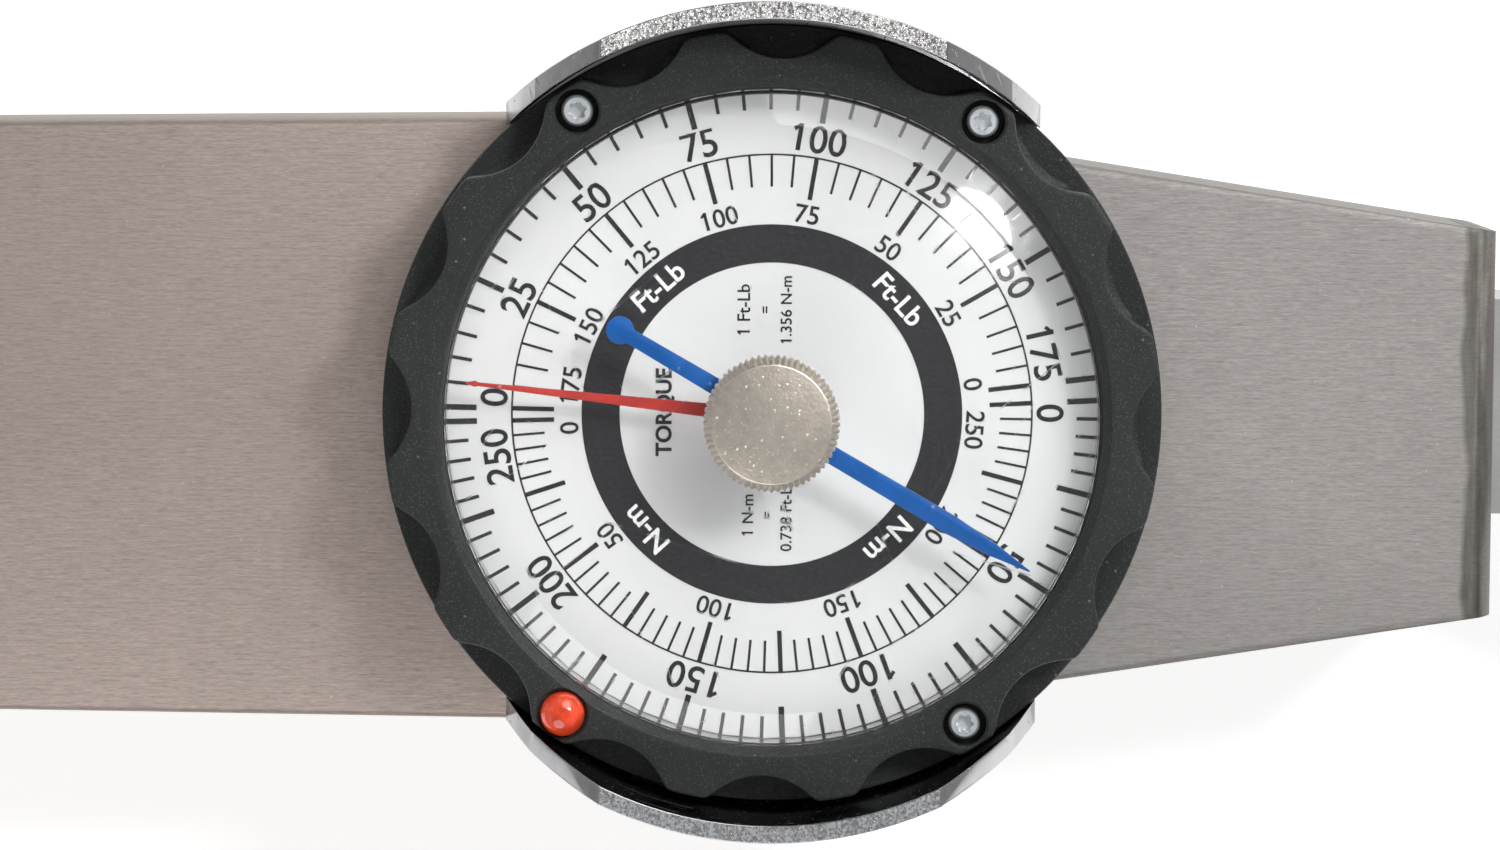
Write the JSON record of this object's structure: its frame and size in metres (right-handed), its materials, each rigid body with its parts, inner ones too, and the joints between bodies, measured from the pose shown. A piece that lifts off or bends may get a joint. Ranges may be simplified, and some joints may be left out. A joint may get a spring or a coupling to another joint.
{
  "type": "dial torque wrench",
  "caption": "Beam torque wrench with a large round dial, red torque pointer, blue memory pointer with knob, scalloped turning bezel, steel guard walls and a square drive.",
  "frame": {"origin": "centre of the drive square's end face", "axes": "+X along the wrench, away from the handle; +Z from the drive square up to the dial; +Y across"},
  "size_m": [0.542, 0.0896, 0.0635],
  "materials": {
    "case_steel": "brushed satin steel sheet",
    "guard_chrome": "bright chrome plate",
    "forged_steel": "ground and polished forging",
    "spring_steel": "dark tempered steel",
    "zinc_plate": "bright zinc plate",
    "brass": "stamped brass",
    "nickel": "satin nickel plate",
    "black_plastic": "fine-textured charcoal moulding",
    "dial_white": "white printed sheet",
    "clear_lens": "clear moulded lens",
    "red_paint": "red enamel",
    "blue_paint": "blue enamel",
    "red_lens": "red diffused lens",
    "grip_rubber": "black ribbed rubber",
    "board": "green circuit board"
  },
  "bodies": {
    "frame": {"case_upper": "case_steel", "case_lower": "case_steel", "dial_guard": "guard_chrome", "dial_pan": "zinc_plate", "movement_plate": "brass", "movement_bridge": "brass", "movement_pillar_1": "brass", "movement_pillar_2": "brass", "movement_pillar_3": "brass", "movement_pillar_4": "brass", "spindle_bush_upper": "brass", "spindle_bush_lower": "brass", "pan_screw_1": "zinc_plate", "pan_screw_2": "zinc_plate", "pan_screw_3": "zinc_plate", "case_screw_1": "zinc_plate", "case_screw_2": "zinc_plate", "case_screw_3": "zinc_plate", "case_screw_4": "zinc_plate", "anchor_screw_1": "zinc_plate", "anchor_screw_2": "zinc_plate", "anchor_block": "forged_steel", "head_pivot_pin": "zinc_plate", "hairspring": "spring_steel", "handle_tube": "guard_chrome", "handle_collar": "black_plastic", "handle_grip": "grip_rubber", "handle_end_cap": "black_plastic", "handle_pin_1": "zinc_plate", "handle_pin_2": "zinc_plate"},
    "head": {"drive_head": "forged_steel", "drive_square": "forged_steel", "drive_retaining_pin": "zinc_plate", "measuring_beam": "spring_steel", "beam_pin_1": "zinc_plate", "beam_pin_2": "zinc_plate", "fork": "brass", "fork_screw": "zinc_plate", "detent_spring": "spring_steel"},
    "ball": {"detent_ball": "zinc_plate"},
    "sector": {"sector_gear": "brass", "sector_arbor": "zinc_plate", "lever_pin": "zinc_plate"},
    "pointer": {"spindle_pinion": "brass", "pointer_spindle": "zinc_plate", "torque_pointer": "red_paint"},
    "dial": {"bezel": "black_plastic", "retaining_ring": "black_plastic", "lens": "clear_lens", "lens_gasket": "grip_rubber", "dial_face": "dial_white", "bezel_screw_1": "zinc_plate", "bezel_screw_2": "zinc_plate", "bezel_screw_3": "zinc_plate", "signal_led": "red_lens", "signal_board": "board", "coin_cell": "zinc_plate"},
    "memory": {"memory_knob": "nickel", "memory_pointer": "blue_paint", "memory_stem": "zinc_plate"}
  },
  "joints": [
    {"name": "head_deflection", "type": "hinge", "parent": "frame", "child": "head", "pos_m": [-0.046, 0, 0.027], "axis": [0, 0, 1], "range_deg": [-1.5, 1.5], "stiffness_Nm_per_rad": 200},
    {"name": "ball_detent", "type": "slide", "parent": "head", "child": "ball", "axis": [1, 0, 0], "range_m": [-0.0008, 0], "stiffness_N_per_m": 400, "deforming": ["detent_spring"]},
    {"name": "sector_turn", "type": "hinge", "parent": "frame", "child": "sector", "pos_m": [-0.1365, 0, 0.034], "axis": [0, 0, 1], "range_deg": [-24.1, 24.1]},
    {"name": "pointer_turn", "type": "hinge", "parent": "frame", "child": "pointer", "pos_m": [-0.112, 0, 0.034], "axis": [0, 0, 1], "range_deg": [-172.2, 172.2]},
    {"name": "dial_turn", "type": "hinge", "parent": "frame", "child": "dial", "pos_m": [-0.112, 0, 0.05], "axis": [0, 0, 1], "continuous": true},
    {"name": "memory_turn", "type": "hinge", "parent": "dial", "child": "memory", "pos_m": [-0.112, 0, 0.058], "axis": [0, 0, 1], "continuous": true}
  ],
  "couplings": [
    {"joint": "sector_turn", "follows": "head_deflection", "ratio": 16.009},
    {"joint": "pointer_turn", "follows": "head_deflection", "ratio": -114.73}
  ]
}
